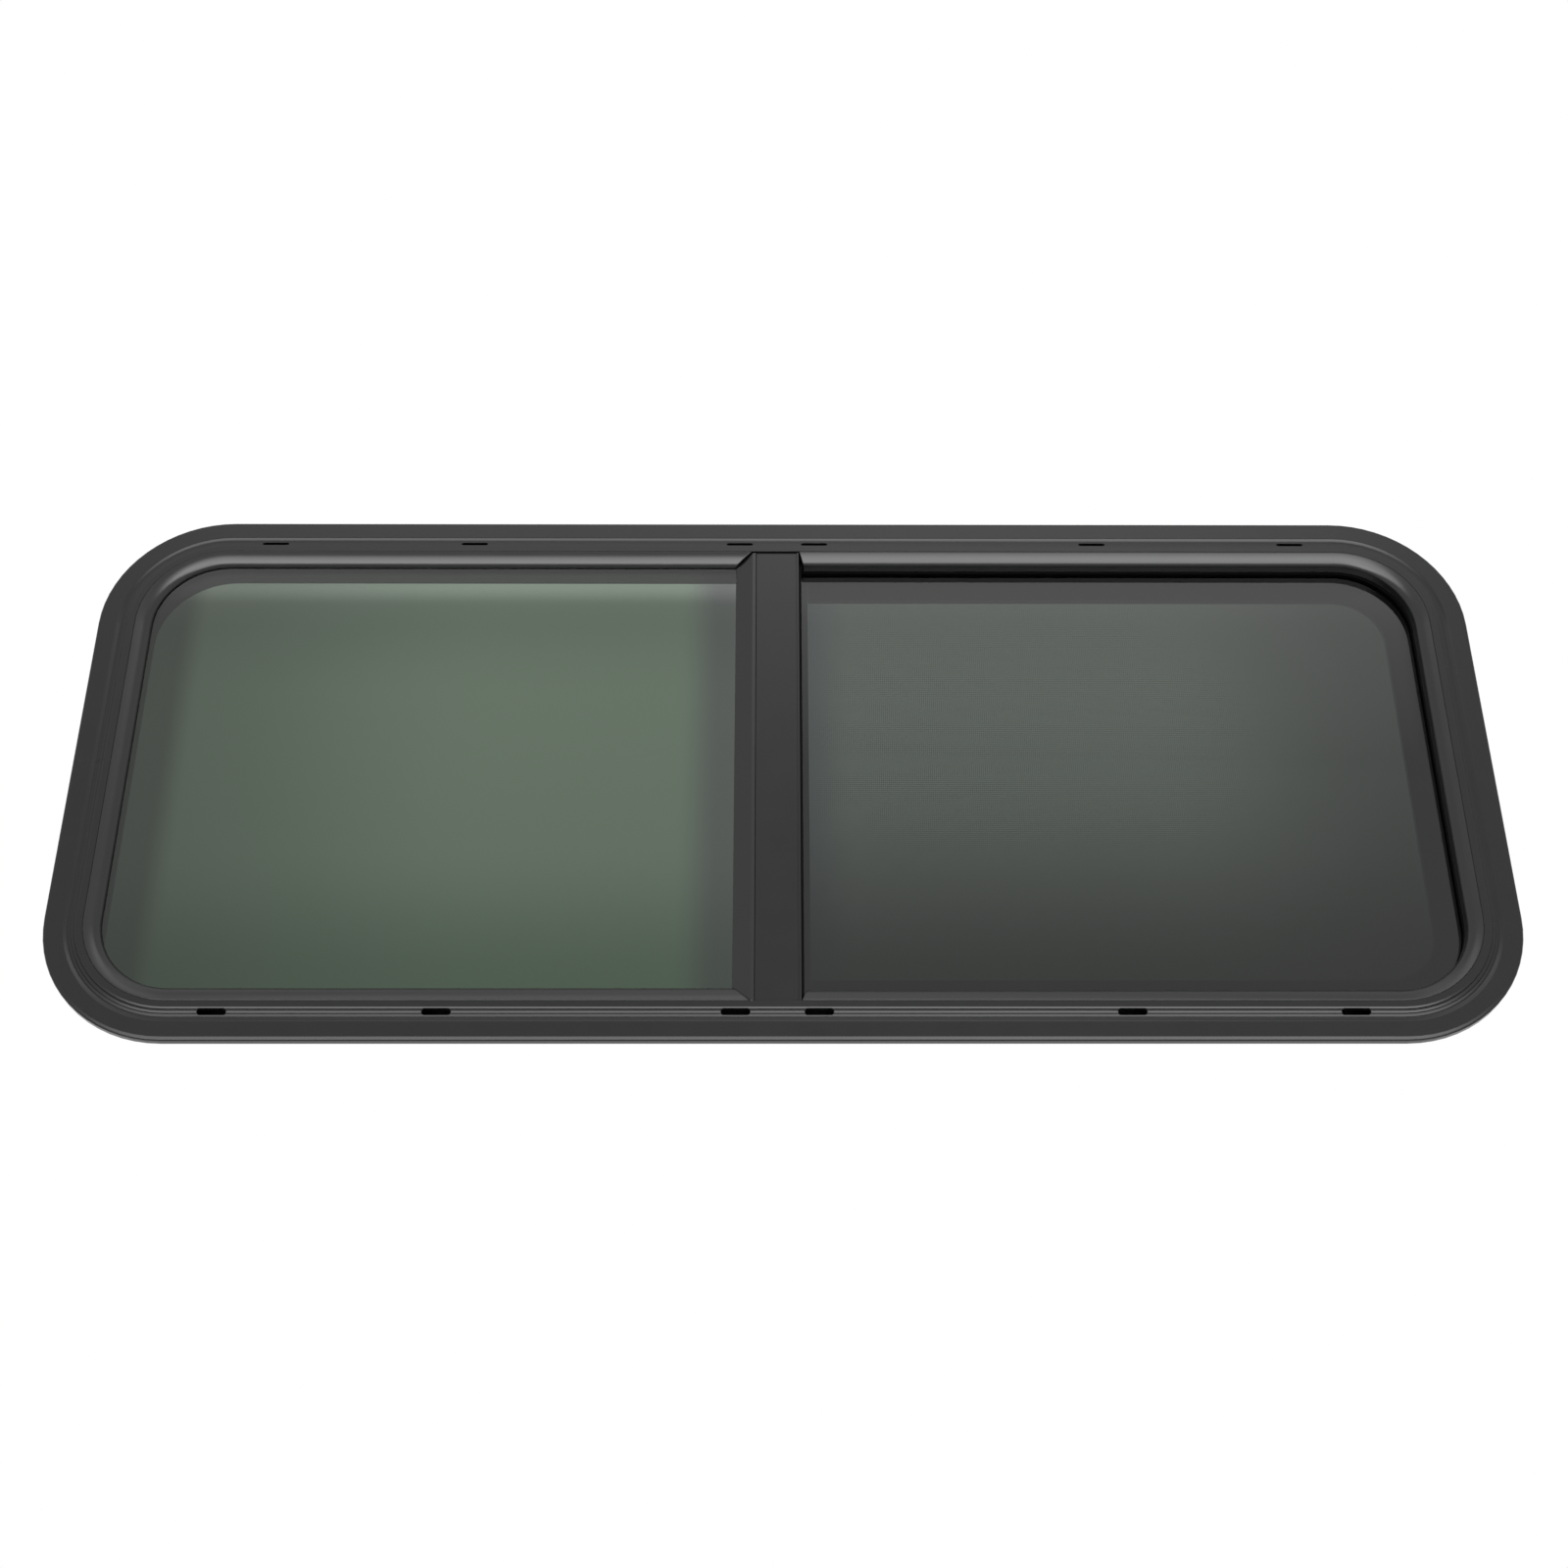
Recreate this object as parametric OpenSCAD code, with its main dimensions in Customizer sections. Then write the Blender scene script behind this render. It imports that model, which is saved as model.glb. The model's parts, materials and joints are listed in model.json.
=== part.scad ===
// Half-sliding caravan window: a bent frame, a fixed pane, a sliding pane and an insect screen.
// The origin is at the window's centre, in the plane where the flange meets the wall.
// +X runs along the window's width, +Z is up and -Y points outdoors.

/* [Overall size] */
// Width over the flange
frame_w = 1000; // [700:10:1400]
// Height over the flange
frame_h = 420; // [340:10:700]
// Corner radius of the flange's outer edge
corner_r = 90; // [85:1:120]

/* [Flange] */
// Depth of the flange's turned rim, from its front face to the wall
flange_depth = 6; // [5.5:0.1:7]
// Thickness of the flange's front plate
flange_wall = 2; // [1.8:0.1:2.2]
// Radius of the rim's rounded front edge
edge_r = 1.4; // [0.6:0.1:1.6]
// Width of the gentle bevel next to the rim's rounded edge
bevel_w = 1.5; // [1:0.1:2]
// Slope of that bevel in degrees
bevel_a = 12; // [6:1:16]
// Overlap of the flange on the wall, up to the frame's body
flange_lap = 16; // [15.8:0.1:16.4]

/* [Ring and drains] */
// Distance from the outer edge to the slope that falls into the drain groove
slope_in = 13.4; // [12.5:0.1:13.6]
// Width of that slope
slope_w = 2.6; // [2.4:0.1:2.8]
// Depth of the drain groove under the flange's face
groove_d = 0.7; // [0.5:0.1:0.8]
// Distance from the outer edge to the foot of the ring's stepped wall
foot_in = 18.6; // [18.4:0.1:18.8]
// Distance from the outer edge to the top of the ring's stepped wall
ring_in = 22.9; // [22.7:0.1:23.4]
// Height of the ring's face over the flange's face
ring_h = 2.4; // [2:0.1:2.6]
// Height of the wall's step over the flange's face
step_h = 1.1; // [0.9:0.1:1.2]
// Length of one drain slot
slot_l = 19.5; // [14:0.5:24]
// Width of one drain slot
slot_w = 3.9; // [2:0.1:4]
// Distance from the outer edge to the middle of the drain slots
slot_in = 20; // [19.6:0.1:20.2]
// Distance between the two drain slots at the mullion
slot_near = 55.4; // [50:0.1:60]
// Distance from the window's centre to the middle between those two slots
slot_shift = 4.8; // [0:0.1:8]
// Distance from the window's centre to the middle slots
slot_mid = 230; // [120:5:240]
// Distance from the window's centre to the outermost slots
slot_far = 378; // [260:1:380]

/* [Frame body] */
// Depth of the body behind the flange
body_depth = 26; // [25:0.5:30]
// Wall thickness of the body
body_wall = 1.6; // [1.4:0.1:1.8]
// Distance from the outer edge to the front lip that holds the beads
sight_lip = 27.3; // [27:0.1:28]
// Height of the track fins over the track floor
fin_h = 6.7; // [6:0.1:7]
// Thickness of one track fin
fin_t = 1.4; // [1.2:0.1:1.6]
// Width of the screw channel in the frame's back
screw_w = 3.2; // [2.8:0.1:3.4]
// Depth of the screw channel in the frame's back
screw_d = 8; // [5:0.5:8.5]
// Width of the butt joint where the bent frame's ends meet
butt_gap = 0.2; // [0.2:0.1:0.6]
// Height of the butt joint over the window's centre
butt_z = 2; // [-60:1:60]
// Length of the splice inside the frame at the butt joint
splice_l = 70; // [40:5:90]

/* [Glass] */
// Depth of the fixed pane's front face under the flange's face
fixed_front = 4; // [3.8:0.1:4.2]
// Thickness of the fixed pane
fixed_t = 4; // [3:0.5:4.5]
// Gap round the fixed pane's edge
fixed_edge_gap = 1.7; // [1.2:0.1:2.2]
// Thickness of the glazing tape behind the fixed pane
tape_t = 1.2; // [0.8:0.1:1.4]
// Depth of the sliding pane's front face under the flange's face
slider_front = 13.2; // [13:0.1:14]
// Thickness of the sliding pane
slider_t = 4; // [3:0.5:4.5]
// Width of the sliding pane's track
slider_track_w = 9.2; // [9:0.1:9.6]
// Gap between the sliding pane's edge and its run channel's floor
slider_edge_gap = 0.8; // [0.5:0.1:0.9]

/* [Beads] */
// Width of the fixed pane's bead over the front lip
bead_w = 11.4; // [11:0.1:12]
// Depth of the fixed pane's bead at its inner lip under the flange's face
bead_lip_d = 3.1; // [2.8:0.1:3.2]
// Slope in degrees of the fixed pane's bead where it leaves the ring
bead_start = 5; // [2:1:10]
// Slope in degrees of the fixed pane's bead at its inner lip
bead_nose = 70; // [60:1:80]
// Width of the sliding pane's bead over the front lip
open_w = 10; // [9.6:0.1:10.6]
// Depth of the sliding pane's bead at its nose under the flange's face
open_nose_d = 3.2; // [3:0.1:3.6]
// Depth of the sliding pane's bead at its inner lip under the flange's face
open_lip_d = 9.9; // [9:0.1:10.4]
// Slope in degrees of the sliding pane's bead where it leaves the ring
open_start = 12; // [8:1:16]
// Slope in degrees of the sliding pane's bead at its nose
open_nose = 75; // [65:1:80]
// Wall thickness of the sliding pane's bead
open_wall = 1.6; // [1.2:0.1:1.8]
// Width of the bead's foot at the sliding pane
foot_w = 5; // [3:0.5:6]

/* [Mullion] */
// Distance from the window's centre to the mullion's left side
mullion_left = 22.9; // [20:0.1:28]
// Distance from the window's centre to the mullion's right side
mullion_right = 11.3; // [9:0.1:16]
// Width of the slanted bead along the mullion
slant_w = 12.1; // [11:0.1:13]
// Depth of the mullion's face under the ring's face
mullion_face = 1.7; // [1.4:0.1:2.2]
// Wall thickness of the mullion
mullion_wall = 1.6; // [1.2:0.1:2]
// Width of the raised rib along the mullion's bead
rib_w = 2.6; // [1.5:0.1:3]
// Height of the mullion's raised edges
rib_h = 0.6; // [0.3:0.1:0.9]
// Width of the wiper seal at the mullion's right side
wiper_w = 1.6; // [1.2:0.1:3]
// Depth of the wiper seal's face under the mullion's face
wiper_set = 6; // [3:0.5:7]

/* [Sliding pane] */
// Distance from the window's centre to the sliding pane's left edge
slider_left = 14; // [12:0.5:18]
// Width of the meeting stile
stile_w = 12; // [10:0.5:14]
// Wall thickness of the meeting stile
stile_t = 1.2; // [0.8:0.1:1.4]
// Height of the latch body
latch_h = 72; // [50:1:110]
// Depth of the latch body behind the stile
latch_d = 6; // [4:0.5:8]
// Height of the latch lever
lever_h = 30; // [20:1:40]
// Thickness of the finger pull on the latch body
pull_t = 3; // [2:0.5:4]
// Reach of the finger pull into the room
pull_reach = 5; // [3:0.5:8]

/* [Screen] */
// Depth of the screen's front face under the flange's face
screen_front = 24.6; // [23.4:0.1:24.8]
// Thickness of the screen's frame
screen_t = 5.6; // [5:0.1:5.9]
// Gap between the screen's frame and the track floor
screen_gap = 0.6; // [0.3:0.1:0.9]
// Width of the screen's frame members
screen_w = 26; // [18:0.5:30]
// Width of the groove for the spline
spline_w = 3; // [2.4:0.1:4]
// Depth of the groove for the spline
spline_d = 3.4; // [2.8:0.1:3.8]
// Width of the lip that carries the mesh
mesh_lip_w = 3.4; // [2.5:0.1:5]
// Step from the screen's back face down to the mesh
mesh_step = 1; // [0.8:0.1:2]
// Thickness of the mesh sheet
mesh_t = 0.4; // [0.3:0.1:0.6]
// Distance from the window's centre to the screen stile's inner edge
screen_stile_in = 18; // [16:0.5:40]
// Width of the screen's stile
screen_stile_w = 21; // [18:0.5:22]

/* [Hidden] */
$fn = 96;
seat_gap = 0.3;
over = 1;
front_y = -flange_depth;
ring_y = front_y - ring_h;
back_y = body_depth;
fin_tip = sight_lip + fin_h;
fixed_y0 = front_y + fixed_front;
fixed_y1 = fixed_y0 + fixed_t;
fin1_y0 = fixed_y1 + tape_t;
fin1_y1 = fin1_y0 + fin_t;
fin2_y0 = fin1_y1 + slider_track_w;
fin2_y1 = fin2_y0 + fin_t;
rear_y0 = back_y - fin_t;
slider_y0 = front_y + slider_front;
slider_y1 = slider_y0 + slider_t;
screen_y0 = front_y + screen_front;
screen_y1 = screen_y0 + screen_t;
mesh_y0 = screen_y1 - mesh_step;
run_wall = 1.2;
run_lip = 1.6;
run_depth = fin_h - seat_gap;
slider_e = sight_lip + run_wall + slider_edge_gap;
screen_e = sight_lip + screen_gap;
screen_in = screen_e + screen_w;
mesh_e = screen_in - mesh_lip_w;
screen_x0 = screen_stile_in - screen_stile_w;
bead_e0 = sight_lip + seat_gap;
bead_e1 = sight_lip + bead_w;
open_e1 = sight_lip + open_w;
mitre_x = -mullion_left;
mitre_end = mitre_x - slant_w;
stile_x0 = -slider_left - stile_t - seat_gap;
stile_x1 = stile_x0 + stile_w;
half_clear = frame_h / 2 - fin_tip - seat_gap;
body_in = flange_lap + body_wall;
chamber_e1 = sight_lip - body_wall;
chamber_y0 = front_y + body_wall;
chamber_y1 = back_y - screw_d - body_wall;

// Points on an arc, from angle a0 to angle a1 in n steps
function arc(c, r, a0, a1, n) =
    [for (i = [0:n]) c + r * [cos(a0 + (a1 - a0) * i / n), sin(a0 + (a1 - a0) * i / n)]];

// Points on a curve from p to q that starts at slope a and ends at slope b, in n steps
function bulge(p, q, a, b, n) =
    let (
        e = (q[1] - p[1] + tan(a) * p[0] - tan(b) * q[0]) / (tan(a) - tan(b)),
        c = [e, p[1] + tan(a) * (e - p[0])]
    )
    [for (i = [0:n]) let (t = i / n) (1 - t) * (1 - t) * p + 2 * t * (1 - t) * c + t * t * q];

// Corners of a rectangle in a frame section
function band(e0, e1, y0, y1) = [[e0, y0], [e1, y0], [e1, y1], [e0, y1]];

// Section points moved to a grid of hundredths, so that sides and corners meet exactly
function snap(section) = [for (p = section) [for (v = p) round(v * 100) / 100]];

// One straight side of the window with the given section, at the top
module straight_side(section, length, half) {
    translate([0, 0, half])
        rotate([0, 90, 0])
            linear_extrude(length, center = true)
                polygon(snap(section));
}

// One bent corner of the window with the given section, at the bottom right
module bent_corner(section) {
    translate([frame_w / 2 - corner_r, 0, corner_r - frame_h / 2])
        rotate([-90, 0, 0])
            rotate_extrude(angle = 90)
                polygon([for (p = snap(section)) [corner_r - p[0], p[1]]]);
}

// A section carried all the way round; its points are inset from the outer edge and depth
module round_frame(section) {
    for (m = [0, 1]) {
        mirror([0, 0, m])
            straight_side(section, frame_w - 2 * corner_r, frame_h / 2);
        mirror([m, 0, 0])
            rotate([0, 90, 0])
                straight_side(section, frame_h - 2 * corner_r, frame_w / 2);
        for (k = [0, 1])
            mirror([m, 0, 0])
                mirror([0, 0, k])
                    bent_corner(section);
    }
}

// A box from its low and high corners
module block(x, y, z) {
    translate([x[0], y[0], z[0]])
        cube([x[1] - x[0], y[1] - y[0], z[1] - z[0]]);
}

// A plate with the frame's rounded outline at an inset
module plate(inset, y0, y1) {
    round_frame(band(inset, corner_r, y0, y1));
    block([corner_r - frame_w / 2, frame_w / 2 - corner_r], [y0, y1],
        [corner_r - frame_h / 2, frame_h / 2 - corner_r]);
}

// Everything between two widths
module between(x0, x1) {
    block([x0, x1], [front_y - corner_r, back_y + corner_r], [-frame_h, frame_h]);
}

// A flat outline in the window's plane, made thick from y0 to y1
module thick(y0, y1) {
    translate([0, y1, 0])
        rotate([90, 0, 0])
            linear_extrude(y1 - y0)
                children();
}

// One drain slot, cut through the ring's stepped wall into the frame's chamber
module drain_slot(x) {
    end = (slot_l - slot_w) / 2;
    z = frame_h / 2 - slot_in;
    thick(ring_y - over, chamber_y0 + over) {
        translate([x, z])
            square([2 * end, slot_w], center = true);
        for (s = [-1, 1])
            translate([x + s * end, z])
                circle(d = slot_w);
    }
}

rim_turn = 270 - bevel_a;
bevel_rise = bevel_w * tan(bevel_a);
rim_c = [edge_r, front_y + bevel_rise - edge_r * sin(rim_turn)];
rim = arc(rim_c, edge_r, 180, rim_turn, 4);
bevel_end = rim[4][0] + bevel_w;
groove_e = slope_in + slope_w;
wall_run = ring_in - foot_in;
step_y = front_y - step_h;

// The stepped wall: shares of its width, and of its heights at the rounded edges
knee_share = 0.14;
tread_from = 0.42;
tread_to = 0.6;
brow_share = 0.72;
knee_drop = 0.3;
brow_drop = 0.15;
stepped_wall = [
    [foot_in, front_y],
    [foot_in + knee_share * wall_run, step_y + knee_drop * step_h],
    [foot_in + tread_from * wall_run, step_y],
    [foot_in + tread_to * wall_run, step_y],
    [foot_in + brow_share * wall_run, ring_y + brow_drop * ring_h],
    [ring_in, ring_y]
];

// The slope and the drain groove: shares of their width and depth at the rounded edges
dip_share = 0.2;
dip_drop = 0.1;
low_share = 0.7;
lift_share = 1.3;
lift_drop = 0.4;

frame_section = concat(
    [[0, 0]],
    rim,
    [
        [bevel_end, front_y],
        [slope_in, front_y],
        [slope_in + dip_share * slope_w, front_y + dip_drop * groove_d],
        [slope_in + low_share * slope_w, front_y + low_share * groove_d],
        [groove_e, front_y + groove_d],
        [groove_e + groove_d, front_y + groove_d],
        [groove_e + lift_share * groove_d, front_y + lift_drop * groove_d]
    ],
    stepped_wall,
    [
        [sight_lip, ring_y],
        [sight_lip, fin1_y0],
        [fin_tip, fin1_y0],
        [fin_tip, fin1_y1],
        [sight_lip, fin1_y1],
        [sight_lip, fin2_y0],
        [fin_tip, fin2_y0],
        [fin_tip, fin2_y1],
        [sight_lip, fin2_y1],
        [sight_lip, rear_y0],
        [fin_tip, rear_y0],
        [fin_tip, back_y],
        [body_in + screw_w, back_y],
        [body_in + screw_w, back_y - screw_d],
        [body_in, back_y - screw_d],
        [body_in, back_y],
        [flange_lap, back_y],
        [flange_lap, front_y + flange_wall],
        [flange_wall, front_y + flange_wall],
        [flange_wall, 0]
    ]);

module outer_frame() {
    near = slot_near / 2;
    color([0.13, 0.13, 0.14])
        difference() {
            round_frame(frame_section);
            round_frame(band(body_in, chamber_e1, chamber_y0, chamber_y1));
            for (x = [-slot_far, -slot_mid, -slot_shift - near, near - slot_shift, slot_mid, slot_far])
                for (k = [0, 1])
                    mirror([0, 0, k])
                        drain_slot(x);
            block([-frame_w / 2 - over, corner_r - frame_w / 2], [ring_y - over, back_y + over],
                [butt_z, butt_z + butt_gap]);
        }
}

module frame_splice() {
    e0 = body_in + seat_gap;
    e1 = chamber_e1 - seat_gap;
    y0 = chamber_y0 + seat_gap;
    y1 = chamber_y1 - seat_gap;
    color([0.55, 0.56, 0.58])
        block([e0 - frame_w / 2, e1 - frame_w / 2], [y0, y1],
            [butt_z - splice_l / 2, butt_z + splice_l / 2]);
}

module mullion() {
    face_y = ring_y + mullion_face;
    back = slider_y0 - seat_gap - stile_t - seat_gap;
    tall = frame_h / 2 - sight_lip - seat_gap;
    x0 = -mullion_left;
    x1 = mullion_right;
    front_end = fin1_y0 - seat_gap;
    color([0.16, 0.16, 0.17])
        difference() {
            union() {
                block([x0 + rib_w + seat_gap, x1], [face_y, front_end], [-tall, tall]);
                block([x0, x0 + rib_w + seat_gap], [face_y + mullion_wall, front_end], [-tall, tall]);
                block([x1 - mullion_wall, x1], [face_y - rib_h, face_y], [-tall, tall]);
                block([x0, x1], [front_end, back], [-half_clear, half_clear]);
                block([mitre_end, x0], [fin1_y0, fin1_y1], [-half_clear, half_clear]);
            }
            block([x0 + mullion_wall, x1 - mullion_wall],
                [face_y + 2 * mullion_wall, back - mullion_wall], [-frame_h, frame_h]);
        }
}

// The slanted bead between the fixed pane and the mullion, with its raised rib
module mullion_bead() {
    face_y = ring_y + mullion_face;
    lip_y = front_y + bead_lip_d;
    glass_y = fixed_y0 - seat_gap;
    x0 = mitre_end;
    x1 = mitre_x;
    tall = frame_h / 2 - sight_lip - seat_gap;
    section = [
        [x0, glass_y],
        [x0, lip_y],
        [x1, face_y - rib_h],
        [x1 + rib_w, face_y - rib_h],
        [x1 + rib_w, face_y + mullion_wall - seat_gap],
        [x1 - seat_gap, face_y + mullion_wall - seat_gap],
        [x1 - seat_gap, glass_y]
    ];
    color([0.12, 0.12, 0.13])
        intersection() {
            linear_extrude(2 * tall, center = true)
                polygon(section);
            thick(ring_y - over, fixed_y0)
                polygon([
                    [x0, tall - bead_w],
                    [x1 + seat_gap, tall + seat_gap],
                    [x1 + rib_w, tall + seat_gap],
                    [x1 + rib_w, -tall - seat_gap],
                    [x1 + seat_gap, -tall - seat_gap],
                    [x0, bead_w - tall]
                ]);
        }
}

module mullion_wiper() {
    x0 = mullion_right + seat_gap;
    y0 = ring_y + mullion_face + wiper_set;
    y1 = slider_y0 - seat_gap;
    color([0.03, 0.03, 0.03])
        block([x0, x0 + wiper_w], [y0, y1], [-half_clear, half_clear]);
}

module mullion_pile() {
    y0 = slider_y0 - stile_t - 2 * seat_gap;
    x0 = stile_x1 + seat_gap;
    x1 = mullion_right - mullion_wall;
    color([0.05, 0.05, 0.05])
        block([x0, x1], [y0, slider_y0 - seat_gap], [-half_clear, half_clear]);
}

module fixed_pane() {
    color([0.35, 0.45, 0.38, 0.6])
        intersection() {
            plate(sight_lip + fixed_edge_gap, fixed_y0, fixed_y1);
            between(-frame_w, -mullion_left - fixed_edge_gap);
        }
}

module fixed_pane_bead() {
    glass_y = fixed_y0 - seat_gap;
    top = frame_h / 2 - sight_lip;
    cut_x = mitre_x - seat_gap;
    crown = bulge([bead_e0, ring_y], [bead_e1, front_y + bead_lip_d], bead_start, bead_nose, 12);
    color([0.15, 0.15, 0.16])
        intersection() {
            round_frame(concat(crown, [[bead_e1, glass_y], [bead_e0, glass_y]]));
            thick(ring_y - over, fin1_y0)
                polygon([
                    [-frame_w, frame_h],
                    [cut_x, frame_h],
                    [cut_x, top],
                    [cut_x - slant_w, top - bead_w],
                    [cut_x - slant_w - over, 0],
                    [cut_x - slant_w, bead_w - top],
                    [cut_x, -top],
                    [cut_x, -frame_h],
                    [-frame_w, -frame_h]
                ]);
        }
}

// Double-sided tape between the fixed pane and its seat
module fixed_pane_tape() {
    e0 = sight_lip + fixed_edge_gap + over;
    e1 = fin_tip - seat_gap;
    x0 = -mullion_left - fixed_edge_gap - over;
    x1 = mitre_end + over;
    color([0.02, 0.02, 0.02])
        difference() {
            intersection() {
                plate(e0, fixed_y1, fin1_y0);
                between(-frame_w, x0);
            }
            intersection() {
                plate(e1, fixed_y1 - over, fin1_y0 + over);
                between(-frame_w, x1);
            }
        }
}

// Rubber blocks that carry the fixed pane's lower edge, a fifth of the way in from its ends
module setting_blocks() {
    block_l = 60;
    block_in = 0.2;
    z0 = sight_lip - frame_h / 2;
    span = frame_w / 2 - corner_r - mullion_left;
    color([0.05, 0.05, 0.05])
        for (s = [block_in, 1 - block_in])
            block([-mullion_left - s * span - block_l / 2, -mullion_left - s * span + block_l / 2],
                [fixed_y0, fixed_y1], [z0, z0 + fixed_edge_gap]);
}

module opening_bead() {
    lip_y = front_y + open_lip_d;
    foot_y = fin1_y0 - seat_gap;
    top = frame_h / 2 - sight_lip;
    cut_x = mullion_right + seat_gap;
    crown = bulge([bead_e0, ring_y], [open_e1, front_y + open_nose_d], open_start, open_nose, 12);
    color([0.15, 0.15, 0.16])
        intersection() {
            round_frame(concat(crown, [
                [open_e1, lip_y],
                [open_e1 - open_wall, lip_y],
                [open_e1 - open_wall, front_y + open_nose_d],
                [bead_e0 + foot_w, front_y + open_nose_d],
                [bead_e0 + foot_w, foot_y],
                [bead_e0, foot_y]
            ]));
            thick(ring_y - over, fin1_y0)
                polygon([
                    [cut_x, frame_h],
                    [cut_x, top],
                    [cut_x + 2 * wiper_w, top - open_w],
                    [cut_x + 2 * wiper_w, open_w - top],
                    [cut_x, -top],
                    [cut_x, -frame_h],
                    [frame_w, -frame_h],
                    [frame_w, frame_h]
                ]);
        }
}

// The black seal on the front fin that wipes the sliding pane's face
module opening_seal() {
    y0 = front_y + open_lip_d + seat_gap;
    y1 = slider_y0 - seat_gap;
    color([0.02, 0.02, 0.02])
        intersection() {
            round_frame(band(fin_tip + seat_gap, open_e1, y0, y1));
            between(mullion_right + wiper_w + 2 * seat_gap, frame_w);
        }
}

module sliding_pane() {
    color([0.3, 0.33, 0.31, 0.6])
        intersection() {
            plate(slider_e, slider_y0, slider_y1);
            between(-slider_left, frame_w);
        }
}

module meeting_stile() {
    y0 = slider_y0 - seat_gap - stile_t;
    y1 = slider_y1 + seat_gap + stile_t;
    color([0.14, 0.14, 0.15])
        difference() {
            block([stile_x0, stile_x1], [y0, y1], [-half_clear, half_clear]);
            block([stile_x0 + stile_t, stile_x1 + over], [y0 + stile_t, y1 - stile_t],
                [-frame_h, frame_h]);
        }
}

// The latch body on the stile, with a finger pull along one edge
module latch_body() {
    y0 = slider_y1 + seat_gap + stile_t;
    y1 = y0 + latch_d;
    color([0.06, 0.06, 0.06])
        difference() {
            union() {
                block([stile_x0, stile_x1], [y0, y1], [-latch_h / 2, latch_h / 2]);
                block([stile_x0, stile_x0 + pull_t], [y1, y1 + pull_reach], [-latch_h / 2, latch_h / 2]);
            }
            block([stile_x0 + pull_t, stile_x1 + over], [y0 + stile_t, y1 + over],
                [-lever_h / 2, lever_h / 2]);
        }
}

module latch_lever() {
    y0 = slider_y1 + seat_gap + 2 * stile_t + seat_gap;
    y1 = slider_y1 + seat_gap + stile_t + latch_d;
    x0 = stile_x0 + pull_t + seat_gap;
    color([0.1, 0.1, 0.1])
        block([x0, stile_x1], [y0, y1 + stile_t], [seat_gap - lever_h / 2, lever_h / 2 - seat_gap]);
}

// A run channel section: a floor, two legs and two inward lips that leave a gap between them
function run_section(gap0, gap1) =
    let (
        e0 = sight_lip,
        e1 = sight_lip + run_depth,
        el = e1 - run_lip
    )
    [
        [e0, fin1_y1],
        [e1, fin1_y1],
        [e1, gap0],
        [el, gap0],
        [el, fin1_y1 + run_wall],
        [e0 + run_wall, fin1_y1 + run_wall],
        [e0 + run_wall, fin2_y0 - run_wall],
        [el, fin2_y0 - run_wall],
        [el, gap1],
        [e1, gap1],
        [e1, fin2_y0],
        [e0, fin2_y0]
    ];

module glass_run_right() {
    color([0.04, 0.04, 0.04])
        intersection() {
            round_frame(run_section(slider_y0 - seat_gap, slider_y1 + seat_gap));
            between(-slider_left, frame_w);
        }
}

module glass_run_left() {
    mid = (slider_y0 + slider_y1) / 2;
    color([0.04, 0.04, 0.04])
        intersection() {
            round_frame(run_section(mid - seat_gap, mid + seat_gap));
            between(-frame_w, -slider_left - seat_gap);
        }
}

// The cover strip in the part of the screen's track that holds no screen
module track_filler() {
    color([0.12, 0.12, 0.13])
        intersection() {
            round_frame(band(sight_lip + seat_gap, fin_tip, fin2_y1 + seat_gap, rear_y0 - seat_gap));
            between(-frame_w, screen_x0 - 2 * seat_gap);
        }
}

// A section of the screen's frame, with its outer edge at e0 and its inner edge at e1
function screen_section(e0, e1) =
    let (
        lip = e1 - mesh_lip_w,
        groove_y = screen_y1 - spline_d
    )
    [
        [e0, screen_y0],
        [e1, screen_y0],
        [e1, mesh_y0],
        [lip, mesh_y0],
        [lip, groove_y],
        [lip - spline_w, groove_y],
        [lip - spline_w, screen_y1],
        [e0, screen_y1]
    ];

module screen_frame() {
    color([0.14, 0.14, 0.15])
        intersection() {
            round_frame(screen_section(screen_e, screen_in));
            between(screen_stile_in + seat_gap, frame_w);
        }
}

module screen_stile() {
    tall = frame_h / 2 - screen_e;
    color([0.14, 0.14, 0.15])
        linear_extrude(2 * tall, center = true)
            polygon(screen_section(screen_x0, screen_stile_in));
}

// The mesh sheet, stretched over the lips of the screen's frame
module screen_mesh() {
    e0 = mesh_e + seat_gap;
    color([0.2, 0.2, 0.2, 0.7])
        intersection() {
            plate(e0, mesh_y0, mesh_y0 + mesh_t);
            between(screen_stile_in - mesh_lip_w + seat_gap, frame_w);
        }
}

// The round cord that holds the mesh in its groove
module screen_spline() {
    r = spline_w / 2 - seat_gap;
    e = mesh_e - spline_w / 2;
    y = screen_y1 - spline_d + seat_gap + r;
    color([0.04, 0.04, 0.04])
        intersection() {
            round_frame(arc([e, y], r, 0, 315, 7));
            between(screen_stile_in + seat_gap, frame_w);
        }
}

// The small pull tab on the screen's stile
module screen_pull() {
    x0 = screen_x0 + seat_gap;
    tab_w = 14;
    tab_h = 36;
    base_t = 1.5;
    grip_t = 3;
    grip_d = 8;
    color([0.06, 0.06, 0.06]) {
        block([x0, x0 + tab_w], [screen_y1, screen_y1 + base_t], [-tab_h / 2, tab_h / 2]);
        block([x0, x0 + grip_t], [screen_y1, screen_y1 + grip_d], [-tab_h / 2, tab_h / 2]);
    }
}

// The pile strip between the screen's stile and the sliding pane
module screen_pile() {
    pile_w = 5;
    color([0.05, 0.05, 0.05])
        block([screen_x0, screen_x0 + pile_w], [slider_y1 + seat_gap, screen_y0], [-half_clear, half_clear]);
}

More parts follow.
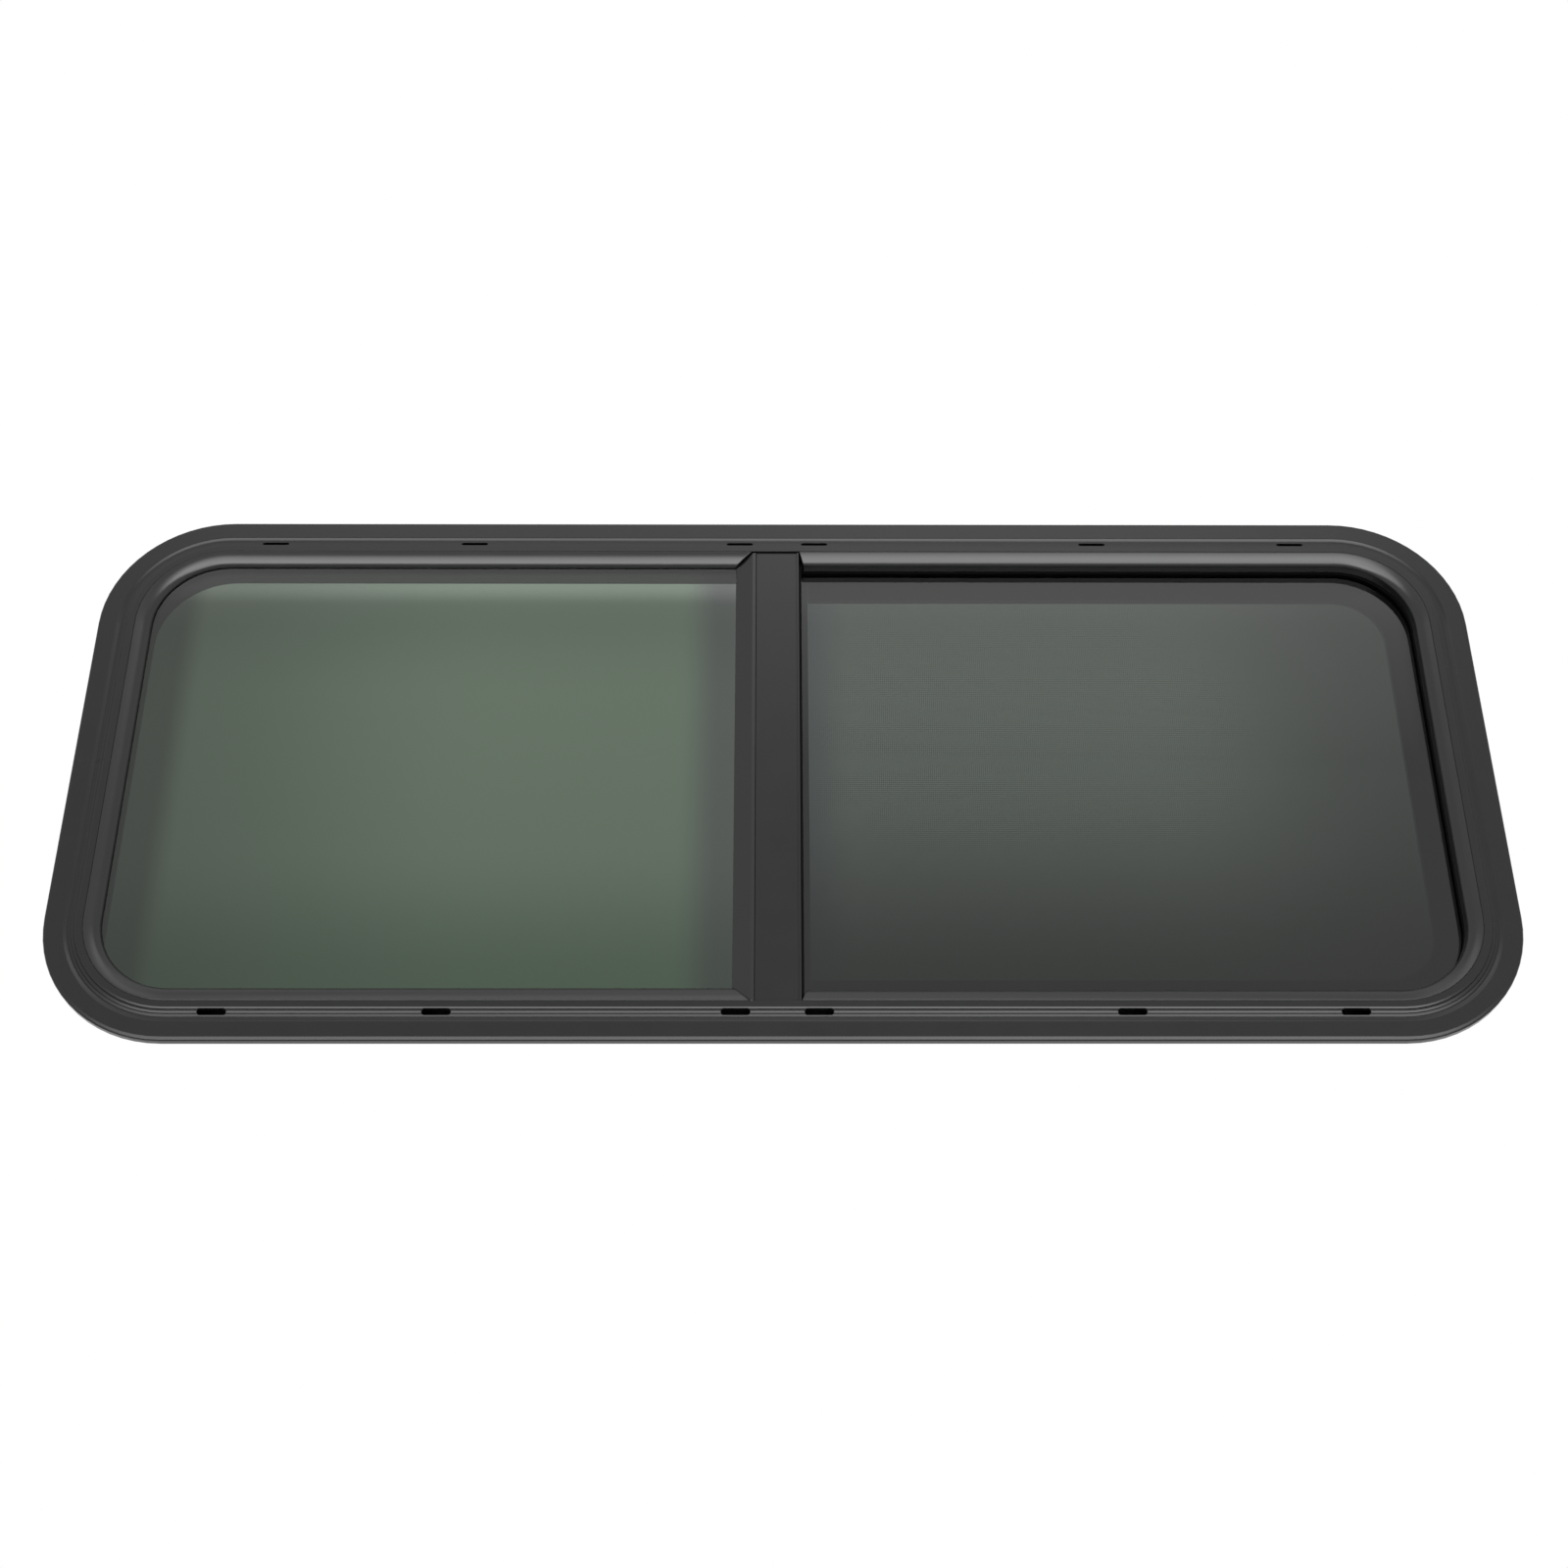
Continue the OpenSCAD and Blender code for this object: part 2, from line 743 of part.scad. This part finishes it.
outer_frame();
frame_splice();
mullion();
mullion_bead();
mullion_wiper();
mullion_pile();
fixed_pane();
fixed_pane_bead();
fixed_pane_tape();
setting_blocks();
opening_bead();
opening_seal();
sliding_pane();
meeting_stile();
latch_body();
latch_lever();
glass_run_right();
glass_run_left();
track_filler();
screen_frame();
screen_stile();
screen_mesh();
screen_spline();
screen_pull();
screen_pile();
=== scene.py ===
"""Looks for the caravan window: finishes, woven screen, latch details, light and camera."""

import json
import math

import bmesh
import bpy
from mathutils import Matrix, Vector


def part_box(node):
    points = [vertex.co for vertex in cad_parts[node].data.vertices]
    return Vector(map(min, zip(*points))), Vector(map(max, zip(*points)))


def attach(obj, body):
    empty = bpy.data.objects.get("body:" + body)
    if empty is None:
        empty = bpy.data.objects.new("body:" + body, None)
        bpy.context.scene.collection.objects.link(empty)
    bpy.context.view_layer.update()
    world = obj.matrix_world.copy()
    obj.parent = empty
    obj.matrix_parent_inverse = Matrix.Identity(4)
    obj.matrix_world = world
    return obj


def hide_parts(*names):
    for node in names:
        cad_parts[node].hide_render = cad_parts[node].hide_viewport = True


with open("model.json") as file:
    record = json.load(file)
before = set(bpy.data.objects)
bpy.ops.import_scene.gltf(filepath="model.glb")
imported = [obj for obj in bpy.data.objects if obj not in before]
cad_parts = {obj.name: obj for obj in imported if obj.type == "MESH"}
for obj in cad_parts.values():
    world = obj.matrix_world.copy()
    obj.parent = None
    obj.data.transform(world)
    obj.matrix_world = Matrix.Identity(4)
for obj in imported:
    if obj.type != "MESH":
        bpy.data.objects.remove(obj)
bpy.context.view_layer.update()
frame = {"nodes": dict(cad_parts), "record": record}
NODES = frame["nodes"]
MM = 0.001

# Camera, fitted to the window's outline in a 1600 pixel square picture
IMAGE_PX = 1600
FOCAL_PX = 2256.0
SENSOR_MM = 36.0
TILT_DEG = -30.036
YAW_DEG = 0.388
ROLL_DEG = 0.161
# The middle of the flange's front in the camera's own axes, and how far it stands before the wall
CAMERA_OFFSET = Vector((0.0000113, 0.013814, -1.555207))
FLANGE_FRONT = 0.006

# Stage
FLOOR_Z = -3.0
FLOOR_SIZE = 6.0
FLOOR_WHITE = 0.8
FLOOR_ROUGH = 0.9

# Screen mesh: yarn thickness, the spacing of its threads, and how far apart warp and weft lie
YARN = 0.00028
PITCH_X = 0.00141
PITCH_Z = 0.00159
YARN_APART = 0.9
YARN_SIDES = 6
FRAME_CORNER = 0.090

# Latch screws in millimetres: radius and rise of the head's rings, then the rises of its recess
SCREW_SIDES = 24
SCREW_HEAD = ((2.6, -0.3), (2.6, 0.5), (2.3, 0.95), (1.7, 1.2))
RECESS_RISES = (1.3, 0.4)
# Radii of the cross recess over a quarter turn, from the middle of one arm
CROSS_RADII = (1.4, 1.4, 0.72, 0.51, 0.72, 1.4)
SCREW_TO_END = 0.007
PULL_REACH = 0.005

# Grip ribs on the lever
RIBS_EACH_WAY = 4
RIB_PITCH = 0.0024
RIB_RADIUS = 0.0006
RIB_TO_END = 0.0012
RIB_SIDES = 12

# Scale of the uneven patches in a finish
BLOTCH_SCALE = 40.0

# Painted shade in grooves: how open a place has to be, by ambient occlusion, for a finish to shine, and how
# little it shines in a narrow groove
PAINTED_SHADE_SHUT = 0.25
PAINTED_SHADE_OPEN = 0.85
PAINTED_SHADE_GLOSS = 0.04

GLASS_IOR = 1.5
# Tints of the panes. A band is an axis, where it is full and where it is clear in metres, and its filter. The
# bands along Z are painted light and shade: they darken the panes towards the bottom and towards the top, and
# the green pane's last band is a painted bright strip along its top edge. The bands along X darken the panes
# towards their side edges.
GREEN_TINT = (0.0945, 0.1375, 0.0945)
GREEN_EDGE_AND_PAINTED_LIGHT_BANDS = (
    ("X", -0.46, -0.2, (0.6, 0.6, 0.6)),
    ("X", -0.441, -0.42, (0.5, 0.46, 0.5)),
    ("X", -0.046, -0.076, (0.66, 0.54, 0.7)),
    ("Z", -0.17, -0.06, (0.48, 0.58, 0.5)),
    ("Z", -0.12, 0.08, (0.86, 0.86, 0.86)),
    ("Z", 0.137, 0.06, (0.8, 0.8, 0.8)),
    ("Z", 0.156, 0.138, (2.2, 1.95, 2.2)),
)
GREY_TINT = (0.0906, 0.112, 0.094)
GREY_EDGE_AND_PAINTED_LIGHT_BANDS = (
    ("X", 0.014, 0.052, (0.62, 0.64, 0.75)),
    ("X", 0.45, 0.26, (0.4, 0.4, 0.41)),
    ("Z", -0.17, 0.02, (0.08, 0.1, 0.08)),
    ("Z", 0.14, 0.06, (0.85, 0.85, 0.85)),
)

# The world is white, at a strength of 1, and reflections show soft light over that white.
# A pair is a height and a level. Heights are degrees from the horizon in front: 90 is overhead,
# -90 is straight down and 180 is the horizon behind. The ahead pairs are a finer ramp over the
# heights that the panes and the flange mirror.
WHITE = 1.0
LIGHT_TOP = 6.5
AROUND_LEFT = (
    (-180, 1.0), (-105.8, 1.0), (-95, 2.0), (-60, 4.8), (-40, 6.2), (-25, 6.4), (-15, 5.4), (-8, 5.0),
    (0, 4.8), (5, 4.2), (9, 1.8), (12.1, 1.0), (20, 1.0), (41, 2.3), (50, 1.3), (72, 1.3), (74.7, 1.0),
    (96.5, 1.0), (105, 3.0), (150, 3.0), (165, 1.2), (180, 1.0),
)
AROUND_RIGHT = (
    (-180, 1.0), (-104.7, 1.0), (-95, 1.8), (-60, 3.6), (-40, 5.2), (-14, 6.0), (-2, 5.8), (5, 4.6),
    (11, 2.8), (16.4, 1.0), (20, 1.0), (41, 2.8), (50, 1.5), (72, 1.3), (74.7, 1.0), (96.5, 1.0),
    (105, 3.0), (150, 3.0), (165, 1.2), (180, 1.0),
)
AHEAD_LEFT = (
    (20, 1.0), (32.9, 1.0), (34.1, 1.1), (34.7, 1.3), (35.1, 1.6), (35.5, 1.45), (36.2, 2.3), (41, 2.3),
)
AHEAD_RIGHT = (
    (20, 1.0), (30.75, 1.0), (31.6, 1.15), (32.7, 1.3), (34.1, 1.55), (34.8, 1.8), (35.5, 1.7),
    (36.4, 2.9), (41, 2.8),
)
# Soft steps of that light: from, to, value before and value after. The first four are over
# height in degrees, and the rest over the sideways slope of the direction.
AHEAD_FROM = (20.0, 20.5, 0.0, 1.0)
AHEAD_TO = (40.5, 41.0, 1.0, 0.0)
OVERHEAD = (82.0, 95.0, 0.0, 1.0)
ABOVE_LEVEL = (13.0, 20.0, 0.0, 1.0)
LEFT_TO_RIGHT = (-0.03, 0.03, 0.0, 1.0)
LEFT_END = (-0.37, -0.33, 0.05, 1.0)
RIGHT_END = (0.34, 0.365, 1.0, 0.15)
BOTH_ENDS = (0.45, 0.68, 1.0, 0.0)
LEAST_DEPTH = 0.01


def material(name):
    """A new node material and its Principled shader."""
    mat = bpy.data.materials.new(name)
    mat.use_nodes = True
    return mat, mat.node_tree.nodes["Principled BSDF"]


def add(mat, kind, **values):
    """Adds a node and sets its properties, or its sockets by name."""
    node = mat.node_tree.nodes.new(kind)
    for key, value in values.items():
        if hasattr(node, key):
            setattr(node, key, value)
        else:
            node.inputs[key.replace("_", " ").title()].default_value = value
    return node


def link(mat, source, out, target, into):
    """Links two nodes by the names of their sockets."""
    mat.node_tree.links.new(source.outputs[out], target.inputs[into])


def math_node(tree, operation, one, other=None):
    """A Math node; each operand is a socket or a number."""
    node = tree.nodes.new("ShaderNodeMath")
    node.operation = operation
    for i, value in enumerate((one, other)):
        if value is None:
            continue
        if isinstance(value, (int, float)):
            node.inputs[i].default_value = value
        else:
            tree.links.new(value, node.inputs[i])
    return node.outputs["Value"]


def step(tree, source, low, high, first, last, kind="SMOOTHSTEP"):
    """A step between two values, soft or linear."""
    node = tree.nodes.new("ShaderNodeMapRange")
    node.interpolation_type = kind
    node.inputs["From Min"].default_value = low
    node.inputs["From Max"].default_value = high
    node.inputs["To Min"].default_value = first
    node.inputs["To Max"].default_value = last
    tree.links.new(source, node.inputs["Value"])
    return node.outputs["Result"]


def noise(mat, coords, scale, detail=2.0):
    """Noise over the object's coordinates, which are metres in the window's own frame."""
    node = add(mat, "ShaderNodeTexNoise", scale=scale, detail=detail)
    link(mat, coords, "Object", node, "Vector")
    return node


def mottled(mat, shader, factor, dark, light):
    """Base colour between two near shades."""
    mix = add(mat, "ShaderNodeMix", data_type="RGBA")
    mix.inputs["A"].default_value = (*dark, 1.0)
    mix.inputs["B"].default_value = (*light, 1.0)
    link(mat, factor, "Fac", mix, "Factor")
    mat.node_tree.links.new(mix.outputs[2], shader.inputs["Base Color"])
    return mix.outputs[2]


def surface(name, dark, light, rough, grain, strength, depth, edge=0.0, shade_nook=0.0, gloss=0.5):
    """A finish with two shades, uneven roughness and a fine grain.

    An edge is the radius that edges are softened by, and the nook width is the width of groove whose shine
    ambient occlusion dims, as painted shade.
    """
    mat, shader = material(name)
    tree = mat.node_tree
    coords = add(mat, "ShaderNodeTexCoord")
    wide = noise(mat, coords, BLOTCH_SCALE, 3.0)
    fine = noise(mat, coords, grain)
    mottled(mat, shader, wide, dark, light)
    tree.links.new(step(tree, wide.outputs["Fac"], 0.0, 1.0, *rough, "LINEAR"), shader.inputs["Roughness"])
    relief = add(mat, "ShaderNodeBump", strength=strength, distance=depth)
    link(mat, fine, "Fac", relief, "Height")
    link(mat, relief, "Normal", shader, "Normal")
    if edge > 0.0:
        soft = add(mat, "ShaderNodeBevel", samples=6, radius=edge)
        link(mat, soft, "Normal", relief, "Normal")
    if shade_nook > 0.0:
        # Painted shade: ambient occlusion lowers the shine in grooves and recesses, where shade falls.
        painted_shade_ao = add(mat, "ShaderNodeAmbientOcclusion", samples=8, distance=shade_nook)
        shine_under_painted_shade = step(tree, painted_shade_ao.outputs["AO"], PAINTED_SHADE_SHUT, PAINTED_SHADE_OPEN, PAINTED_SHADE_GLOSS, gloss, "LINEAR")
        tree.links.new(shine_under_painted_shade, shader.inputs["Specular IOR Level"])
    return mat, shader


def glass(name, tint, edge_and_light_bands):
    """Tinted safety glass, with soft bands along its axes that multiply its colour: painted light and shade
    along its height, and darker towards its side edges.
    """
    mat, shader = material(name)
    tree = mat.node_tree
    shader.inputs["Transmission Weight"].default_value = 1.0
    shader.inputs["Roughness"].default_value = 0.0
    shader.inputs["IOR"].default_value = GLASS_IOR
    coords = add(mat, "ShaderNodeTexCoord")
    split = add(mat, "ShaderNodeSeparateXYZ")
    link(mat, coords, "Object", split, "Vector")
    dark = tuple(0.98 * c for c in tint)
    light = tuple(1.02 * c for c in tint)
    colour = mottled(mat, shader, noise(mat, coords, 6.0), dark, light)
    # Each band multiplies the tint; the bands along Z are painted light and shade.
    for axis, full, clear, shade in edge_and_light_bands:
        mix = add(mat, "ShaderNodeMix", data_type="RGBA", blend_type="MULTIPLY")
        tree.links.new(step(tree, split.outputs[axis], full, clear, 1.0, 0.0), mix.inputs[0])
        tree.links.new(colour, mix.inputs[6])
        mix.inputs[7].default_value = (*shade, 1.0)
        colour = mix.outputs[2]
    tree.links.new(colour, shader.inputs["Base Color"])
    return mat


def powder_coat():
    """Satin black paint on the frame, the mullion and the sliding pane's stile."""
    return surface("powder_coat", (0.003, 0.003, 0.0033), (0.005, 0.005, 0.0054), (0.2, 0.25),
                   1400.0, 0.06, 0.0002, edge=0.0003, shade_nook=0.0026, gloss=0.4)[0]


def bare_aluminium():
    """Metal of the splice and the latch's screws."""
    mat, shader = surface("bare_aluminium", (0.6, 0.61, 0.62), (0.7, 0.71, 0.72), (0.3, 0.4),
                          900.0, 0.1, 0.0002)
    shader.inputs["Metallic"].default_value = 1.0
    return mat


def bead_black():
    """Smooth black beads round the panes."""
    return surface("bead_black", (0.004, 0.004, 0.0043), (0.007, 0.007, 0.0075), (0.2, 0.25),
                   700.0, 0.04, 0.0002, edge=0.0012, shade_nook=0.002)[0]


def seal_rubber():
    """Dull black rubber of the seals and run channels."""
    mat, shader = surface("seal_rubber", (0.004, 0.004, 0.004), (0.007, 0.007, 0.007), (0.6, 0.75),
                          1200.0, 0.2, 0.0003)
    shader.inputs["Specular IOR Level"].default_value = 0.06
    return mat


def pile_black():
    """Black pile of the weather strips."""
    mat, shader = surface("pile_black", (0.005, 0.005, 0.005), (0.011, 0.011, 0.011), (0.85, 0.95),
                          2500.0, 0.5, 0.0004)
    shader.inputs["Specular IOR Level"].default_value = 0.1
    return mat


def latch_plastic():
    """Grained black plastic of the latch and the screen's pull."""
    return surface("latch_plastic", (0.014, 0.014, 0.014), (0.02, 0.02, 0.02), (0.45, 0.55),
                   2600.0, 0.25, 0.0002)[0]


def track_plastic():
    """Smooth dark plastic of the cover in the screen's track."""
    return surface("track_plastic", (0.02, 0.02, 0.021), (0.026, 0.026, 0.027), (0.45, 0.55),
                   900.0, 0.08, 0.0002)[0]


def screen_coat():
    """Dark coat on the screen's frame."""
    return surface("screen_coat", (0.018, 0.018, 0.019), (0.024, 0.024, 0.025), (0.4, 0.48),
                   1400.0, 0.1, 0.0002)[0]


def mesh_fibre():
    """Coated yarn of the insect screen."""
    return surface("mesh_fibre", (0.02, 0.021, 0.02), (0.03, 0.031, 0.03), (0.5, 0.6),
                   3000.0, 0.1, 0.0001)[0]


MATERIALS = {
    "powder_coat": powder_coat(),
    "bare_aluminium": bare_aluminium(),
    "bead_black": bead_black(),
    "seal_rubber": seal_rubber(),
    "pile_black": pile_black(),
    "green_glass": glass("green_glass", GREEN_TINT, GREEN_EDGE_AND_PAINTED_LIGHT_BANDS),
    "grey_glass": glass("grey_glass", GREY_TINT, GREY_EDGE_AND_PAINTED_LIGHT_BANDS),
    "latch_plastic": latch_plastic(),
    "track_plastic": track_plastic(),
    "screen_coat": screen_coat(),
    "mesh_fibre": mesh_fibre(),
}


def dress_nodes():
    """Gives every CAD node the finish of its slot."""
    for part in frame["record"]["subparts"]:
        node = NODES[part["node"]]
        for holder in node.material_slots:
            holder.material = MATERIALS[part["material_slot"]]


def new_piece(name, bm, slot):
    """Turns a bmesh into a piece that rides on the window."""
    mesh = bpy.data.meshes.new(name)
    bm.to_mesh(mesh)
    bm.free()
    mesh.materials.append(MATERIALS[slot])
    piece = bpy.data.objects.new(name, mesh)
    bpy.context.scene.collection.objects.link(piece)
    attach(piece, "root")
    return piece


def skin(bm, rings):
    """Joins rings of points with faces and closes both ends."""
    for low, high in zip(rings, rings[1:]):
        for i in range(len(low)):
            j = (i + 1) % len(low)
            bm.faces.new((low[i], low[j], high[j], high[i]))
    bm.faces.new(list(reversed(rings[0])))
    bm.faces.new(rings[-1])


def yarn(bm, start, end, across, radius, sides=YARN_SIDES):
    """A straight round thread between two points."""
    other = (end - start).normalized().cross(across)
    rings = []
    for point in (start, end):
        ring = []
        for i in range(sides):
            turn = math.tau * i / sides
            spoke = math.cos(turn) * across + math.sin(turn) * other
            ring.append(bm.verts.new(point + radius * spoke))
        rings.append(ring)
    skin(bm, rings)


def bend(past, corner):
    """How far a rounded corner reaches from its centre, at a distance past that centre."""
    past = max(0.0, past)
    return math.sqrt(max(0.0, corner * corner - past * past))


def woven_screen():
    """Warp and weft threads that fill the screen's frame, as real geometry."""
    low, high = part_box("screen_mesh")
    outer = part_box("outer_frame")
    corner = FRAME_CORNER - (outer[1].x - high.x)
    middle = (low.y + high.y) / 2
    lift = YARN / 2 * YARN_APART
    right_centre = high.x - corner
    top_centre = high.z - corner
    bm = bmesh.new()
    for i in range(1, int((high.x - low.x) / PITCH_X)):
        x = low.x + i * PITCH_X
        reach = top_centre + bend(x - right_centre, corner)
        start = Vector((x, middle - lift, -reach))
        end = Vector((x, middle - lift, reach))
        yarn(bm, start, end, Vector((1, 0, 0)), YARN / 2)
    for i in range(1, int((high.z - low.z) / PITCH_Z)):
        z = low.z + i * PITCH_Z
        reach = right_centre + bend(abs(z) - top_centre, corner)
        start = Vector((low.x, middle + lift, z))
        end = Vector((reach, middle + lift, z))
        yarn(bm, start, end, Vector((0, 0, 1)), YARN / 2)
    piece = new_piece("woven_screen", bm, "mesh_fibre")
    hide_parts("screen_mesh")


def screw_head(bm, centre):
    """A small pan head with a cross recess, its axis along the depth."""
    levels = [([radius], rise) for radius, rise in SCREW_HEAD]
    levels += [(CROSS_RADII, rise) for rise in RECESS_RISES]
    rings = []
    for radii, rise in levels:
        ring = []
        for i in range(SCREW_SIDES):
            reach = radii[i % len(radii)]
            turn = math.tau * i / SCREW_SIDES
            offset = Vector((-reach * math.cos(turn), rise, reach * math.sin(turn)))
            ring.append(bm.verts.new(centre + MM * offset))
        rings.append(ring)
    skin(bm, rings)


def latch_screws():
    """The two screws that hold the latch, one near each end."""
    low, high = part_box("latch_body")
    lever_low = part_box("latch_lever")[0]
    bm = bmesh.new()
    for z in (low.z + SCREW_TO_END, high.z - SCREW_TO_END):
        screw_head(bm, Vector(((lever_low.x + high.x) / 2, high.y - PULL_REACH, z)))
    new_piece("latch_screws", bm, "bare_aluminium")


def lever_grip():
    """Grip ribs across the latch's lever."""
    low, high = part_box("latch_lever")
    bm = bmesh.new()
    for i in range(-RIBS_EACH_WAY, RIBS_EACH_WAY + 1):
        start = Vector((low.x + RIB_TO_END, high.y, i * RIB_PITCH))
        end = Vector((high.x - RIB_TO_END, high.y, i * RIB_PITCH))
        yarn(bm, start, end, Vector((0, 0, 1)), RIB_RADIUS, RIB_SIDES)
    new_piece("lever_grip", bm, "latch_plastic")


def floor():
    """The plain pale floor."""
    half = FLOOR_SIZE / 2
    corners = [(x * half, y * half, FLOOR_Z) for x, y in ((-1, -1), (1, -1), (1, 1), (-1, 1))]
    mesh = bpy.data.meshes.new("stage_floor")
    mesh.from_pydata(corners, [], [(0, 1, 2, 3)])
    mat, shader = material("stage_floor")
    shader.inputs["Base Color"].default_value = (FLOOR_WHITE, FLOOR_WHITE, FLOOR_WHITE, 1.0)
    shader.inputs["Roughness"].default_value = FLOOR_ROUGH
    mesh.materials.append(mat)
    ground = bpy.data.objects.new("stage_floor", mesh)
    bpy.context.scene.collection.objects.link(ground)


def ramp(tree, height, stops):
    """Level of the soft light by height, as a share of its top level."""
    first, last = stops[0][0], stops[-1][0]
    node = tree.nodes.new("ShaderNodeValToRGB")
    elements = node.color_ramp.elements
    while len(elements) < len(stops):
        elements.new(0.5)
    for element, (degrees, level) in zip(elements, stops):
        share = level / LIGHT_TOP
        element.position = (degrees - first) / (last - first)
        element.color = (share, share, share, 1.0)
    tree.links.new(step(tree, height, first, last, 0.0, 1.0, "LINEAR"), node.inputs["Fac"])
    return node.outputs["Color"]


def blend(tree, factor, one, other):
    """Mixes two colours."""
    node = tree.nodes.new("ShaderNodeMix")
    node.data_type = "RGBA"
    for socket, value in ((node.inputs[0], factor), (node.inputs[6], one), (node.inputs[7], other)):
        tree.links.new(value, socket)
    return node.outputs[2]


def light_kept(tree, height, aside):
    """Share of the soft light that is left towards the studio's two ends."""
    ends = math_node(tree, "MULTIPLY", step(tree, aside, *LEFT_END), step(tree, aside, *RIGHT_END))
    lost = math_node(tree, "SUBTRACT", 1.0, ends)
    lost = math_node(tree, "MULTIPLY", lost, step(tree, height, *ABOVE_LEVEL))
    spread = math_node(tree, "ABSOLUTE", aside)
    kept = math_node(tree, "SUBTRACT", 1.0, lost)
    kept = math_node(tree, "MULTIPLY", kept, step(tree, spread, *BOTH_ENDS))
    return math_node(tree, "MAXIMUM", kept, step(tree, height, *OVERHEAD))


def soft_light(tree):
    """What reflections show by direction, from white up, as a share of the light's top level."""
    coords = tree.nodes.new("ShaderNodeTexCoord")
    split = tree.nodes.new("ShaderNodeSeparateXYZ")
    tree.links.new(coords.outputs["Generated"], split.inputs["Vector"])
    front = math_node(tree, "MULTIPLY", split.outputs["Y"], -1.0)
    height = math_node(tree, "DEGREES", math_node(tree, "ARCTAN2", split.outputs["Z"], front))
    depth = math_node(tree, "MAXIMUM", math_node(tree, "ABSOLUTE", split.outputs["Y"]), LEAST_DEPTH)
    aside = math_node(tree, "DIVIDE", split.outputs["X"], depth)
    ahead = math_node(tree, "MULTIPLY", step(tree, height, *AHEAD_FROM), step(tree, height, *AHEAD_TO))
    left = blend(tree, ahead, ramp(tree, height, AROUND_LEFT), ramp(tree, height, AHEAD_LEFT))
    right = blend(tree, ahead, ramp(tree, height, AROUND_RIGHT), ramp(tree, height, AHEAD_RIGHT))
    level = blend(tree, step(tree, aside, *LEFT_TO_RIGHT), left, right)
    level = math_node(tree, "MULTIPLY", level, light_kept(tree, height, aside))
    return math_node(tree, "MAXIMUM", level, WHITE / LIGHT_TOP)


def studio():
    """A white world, with soft light that only reflections show."""
    world = bpy.data.worlds.new("studio")
    bpy.context.scene.world = world
    world.use_nodes = True
    tree = world.node_tree
    nodes = tree.nodes
    links = tree.links
    white = nodes["Background"]
    white.inputs["Color"].default_value = (1, 1, 1, 1)
    white.inputs["Strength"].default_value = WHITE
    light = nodes.new("ShaderNodeBackground")
    links.new(soft_light(tree), light.inputs["Color"])
    light.inputs["Strength"].default_value = LIGHT_TOP
    path = nodes.new("ShaderNodeLightPath")
    mirrored = math_node(tree, "SUBTRACT", path.outputs["Is Glossy Ray"], path.outputs["Is Transmission Ray"])
    mix = nodes.new("ShaderNodeMixShader")
    links.new(mirrored, mix.inputs["Fac"])
    links.new(white.outputs["Background"], mix.inputs[1])
    links.new(light.outputs["Background"], mix.inputs[2])
    links.new(mix.outputs["Shader"], nodes["World Output"].inputs["Surface"])


def camera():
    """The photograph's viewpoint: below the window and in front of it, looking up."""
    tilt = Matrix.Rotation(math.radians(TILT_DEG), 3, "X")
    yaw = Matrix.Rotation(math.radians(YAW_DEG), 3, "Y")
    roll = Matrix.Rotation(math.radians(ROLL_DEG), 3, "Z")
    turn = roll @ tilt @ yaw
    stand = Matrix.Rotation(math.radians(90), 3, "X")
    spot = stand @ (turn.transposed() @ -CAMERA_OFFSET) + Vector((0, -FLANGE_FRONT, 0))
    data = bpy.data.cameras.new("camera")
    data.sensor_width = SENSOR_MM
    data.lens = SENSOR_MM * FOCAL_PX / IMAGE_PX
    view = bpy.data.objects.new("camera", data)
    bpy.context.scene.collection.objects.link(view)
    view.matrix_world = Matrix.Translation(spot) @ (stand @ turn.transposed()).to_4x4()
    bpy.context.scene.camera = view


camera()
studio()
floor()
dress_nodes()
woven_screen()
latch_screws()
lever_grip()
bpy.context.scene.view_settings.view_transform = "Standard"
